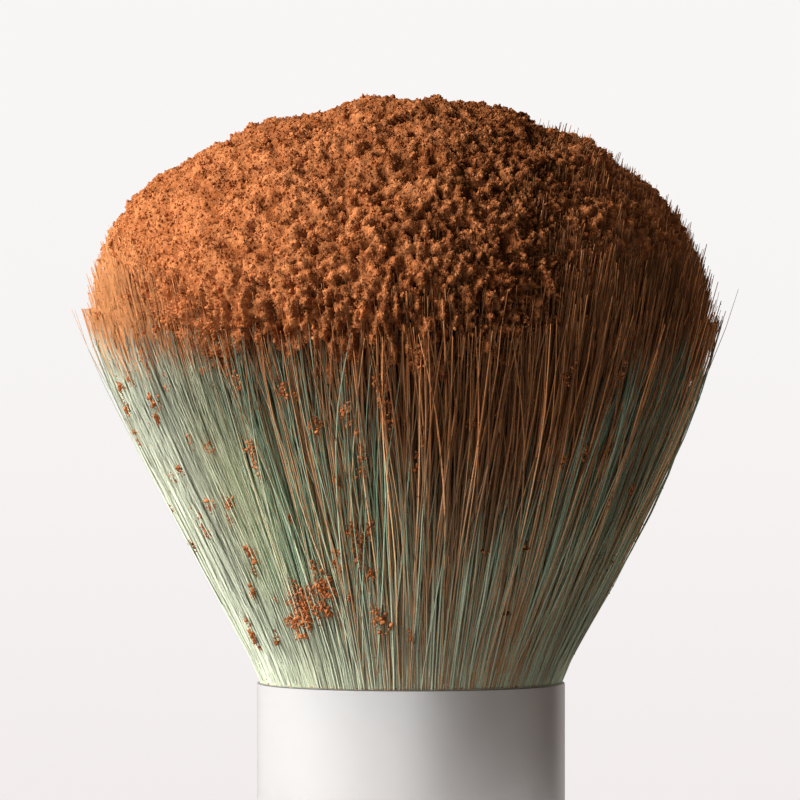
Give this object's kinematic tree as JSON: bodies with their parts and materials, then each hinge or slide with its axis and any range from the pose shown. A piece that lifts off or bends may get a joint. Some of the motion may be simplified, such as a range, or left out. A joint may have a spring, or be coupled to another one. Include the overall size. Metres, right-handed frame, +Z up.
{
  "type": "makeup brush",
  "caption": "Short dense powder brush with a flared, domed head of pale green fibres loaded with orange-brown powder, a satin silver ferrule and a turned white handle that stands on its foot.",
  "frame": {"origin": "centre of the foot pad's underside, where the brush stands", "axes": "+Z up along the brush's axis towards the tips; the pictured side faces -Y, with +X to its right"},
  "size_m": [0.0514, 0.0514, 0.0903],
  "materials": {
    "fibre": "fine synthetic fibre, pale green",
    "powder": "loose matte powder, orange-brown",
    "ferrule_metal": "satin",
    "handle_lacquer": "white lacquer",
    "pad_rubber": "fine matte",
    "weight_steel": "plated",
    "plug_plastic": "moulded",
    "potting_epoxy": "cured, amber",
    "thread_cotton": "twisted thread"
  },
  "bodies": {
    "root": {"foot_pad": "pad_rubber", "handle": "handle_lacquer", "base_plug": "plug_plastic", "weight_slug": "weight_steel", "ferrule": "ferrule_metal", "epoxy_plug": "potting_epoxy", "binding_thread": "thread_cotton", "bristle_bundle": "fibre", "powder_load": "powder"}
  },
  "joints": []
}
